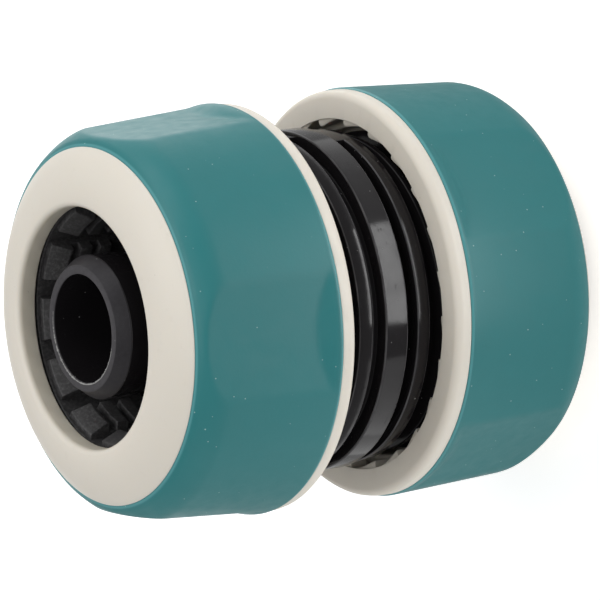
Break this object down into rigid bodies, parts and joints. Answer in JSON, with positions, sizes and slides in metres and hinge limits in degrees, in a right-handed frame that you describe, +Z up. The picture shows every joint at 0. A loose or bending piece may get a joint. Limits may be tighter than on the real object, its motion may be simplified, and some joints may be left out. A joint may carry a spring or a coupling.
{
  "type": "hose mender",
  "caption": "Garden hose mender: a flanged plastic body with a spigot and a threaded sleeve on each end, and a soft-grip nut with a claw ring screwed onto each sleeve.",
  "frame": {"origin": "on the hose axis, in the end face of the lower spigot, which it stands on", "axes": "+Z up along the hose axis from the lower to the upper spigot, +Y through the middle of one flat of the upper grip"},
  "size_m": [0.04, 0.04, 0.0502],
  "materials": {
    "body": "moulded black, satin to gloss",
    "claws": "moulded black, fine grain on the claw faces",
    "shell": "moulded cream, satin",
    "grip": "soft moulded teal, matt"
  },
  "bodies": {
    "body": {"body": "body"},
    "upper_claws": {"upper_claw_ring": "claws"},
    "upper_nut": {"upper_nut_shell": "shell", "upper_grip": "grip"},
    "lower_claws": {"lower_claw_ring": "claws"},
    "lower_nut": {"lower_nut_shell": "shell", "lower_grip": "grip"}
  },
  "joints": [
    {"name": "upper_nut_advance", "type": "slide", "parent": "body", "child": "upper_claws", "axis": [0, 0, 1], "range_m": [-0.0051, 0.00235]},
    {"name": "upper_nut_turn", "type": "hinge", "parent": "upper_claws", "child": "upper_nut", "pos_m": [0, 0, 0.03962], "axis": [0, 0, 1], "range_deg": [-600, 270]},
    {"name": "lower_nut_advance", "type": "slide", "parent": "body", "child": "lower_claws", "axis": [0, 0, -1], "range_m": [-0.00328, 0.00417]},
    {"name": "lower_nut_turn", "type": "hinge", "parent": "lower_claws", "child": "lower_nut", "pos_m": [0, 0, 0.0123], "axis": [0, 0, -1], "range_deg": [-382.1, 487.9]}
  ],
  "couplings": [
    {"joint": "upper_nut_advance", "follows": "upper_nut_turn", "m_per_rad": 0.00047746},
    {"joint": "lower_nut_advance", "follows": "lower_nut_turn", "m_per_rad": 0.00047746}
  ]
}
